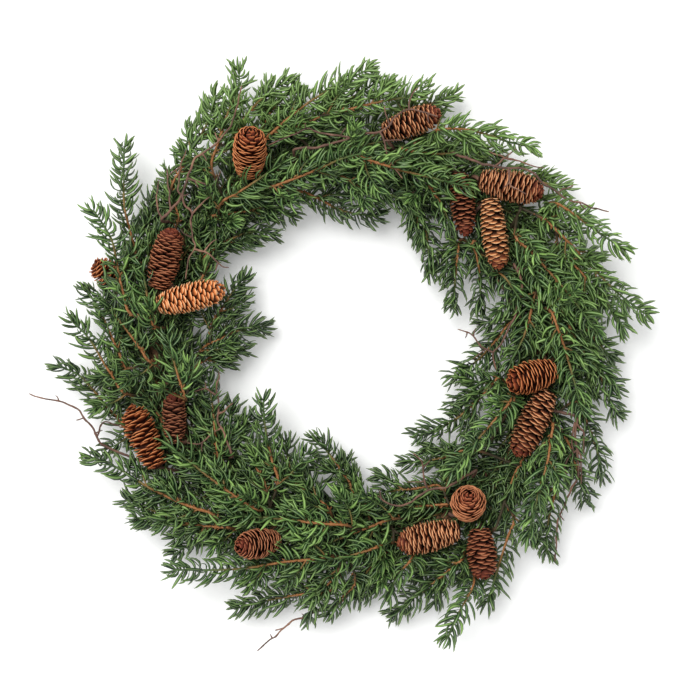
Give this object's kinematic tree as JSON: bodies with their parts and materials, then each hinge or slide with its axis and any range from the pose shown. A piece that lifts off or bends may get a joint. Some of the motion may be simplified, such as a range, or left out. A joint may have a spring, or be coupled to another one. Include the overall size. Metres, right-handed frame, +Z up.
{
  "type": "pinecone wreath",
  "caption": "Round wreath of long-needled pine sprays with pine cones and bare twigs seated on a bound ring of twisted vine, lying face up with an open middle",
  "frame": {"origin": "on the surface the wreath lies on, under the middle of its outline", "axes": "+Z up out of the wreath's face, +Y towards the top of the wreath as hung or seen from above, +X to the right; the sprays run clockwise seen from +Z"},
  "size_m": [0.6385, 0.6014, 0.091],
  "materials": {
    "vine_bark": "rough dark vine bark",
    "painted_wire": "dull green florist's wire",
    "cone_brown": "dry brown cone scales, paler at their edges",
    "cone_light": "dry light orange-tan cone scales",
    "twig_bark": "thin pinkish brown bark",
    "pine_green": "waxy green pine needles on orange-brown stems"
  },
  "bodies": {
    "root": {"vine_ring": "vine_bark", "binding_wire": "painted_wire", "cone_01": "cone_brown", "cone_02": "cone_brown", "cone_03": "cone_light", "cone_04": "cone_brown", "cone_05": "cone_brown", "cone_06": "cone_brown", "cone_07": "cone_brown", "cone_08": "cone_light", "cone_09": "cone_brown", "cone_10": "cone_brown", "cone_11": "cone_light", "cone_12": "cone_brown", "cone_13": "cone_brown", "cone_14": "cone_brown", "cone_15": "cone_brown", "cone_16": "cone_brown", "twig_upper_left": "twig_bark", "twig_top": "twig_bark", "twig_upper_right": "twig_bark", "twig_right": "twig_bark", "twig_bottom": "twig_bark", "twig_inner_lower": "twig_bark", "twig_lower_right": "twig_bark", "twig_left": "twig_bark", "twig_inner_left": "twig_bark", "pine_bunch_01": "pine_green", "pine_bunch_02": "pine_green", "pine_bunch_03": "pine_green", "pine_bunch_04": "pine_green", "pine_bunch_05": "pine_green", "pine_bunch_06": "pine_green", "pine_bunch_07": "pine_green", "pine_bunch_08": "pine_green", "pine_bunch_09": "pine_green", "pine_bunch_10": "pine_green", "pine_bunch_11": "pine_green", "pine_bunch_12": "pine_green", "pine_bunch_13": "pine_green", "pine_bunch_14": "pine_green", "pine_bunch_15": "pine_green", "pine_bunch_16": "pine_green", "pine_bunch_17": "pine_green", "pine_bunch_18": "pine_green", "pine_bunch_19": "pine_green", "pine_bunch_20": "pine_green", "pine_bunch_21": "pine_green", "pine_bunch_22": "pine_green", "pine_bunch_23": "pine_green", "pine_bunch_24": "pine_green", "pine_bunch_25": "pine_green", "pine_bunch_26": "pine_green", "pine_bunch_27": "pine_green", "pine_bunch_28": "pine_green", "pine_bunch_29": "pine_green", "pine_bunch_30": "pine_green", "pine_bunch_31": "pine_green", "pine_bunch_32": "pine_green", "pine_bunch_33": "pine_green"}
  },
  "joints": []
}
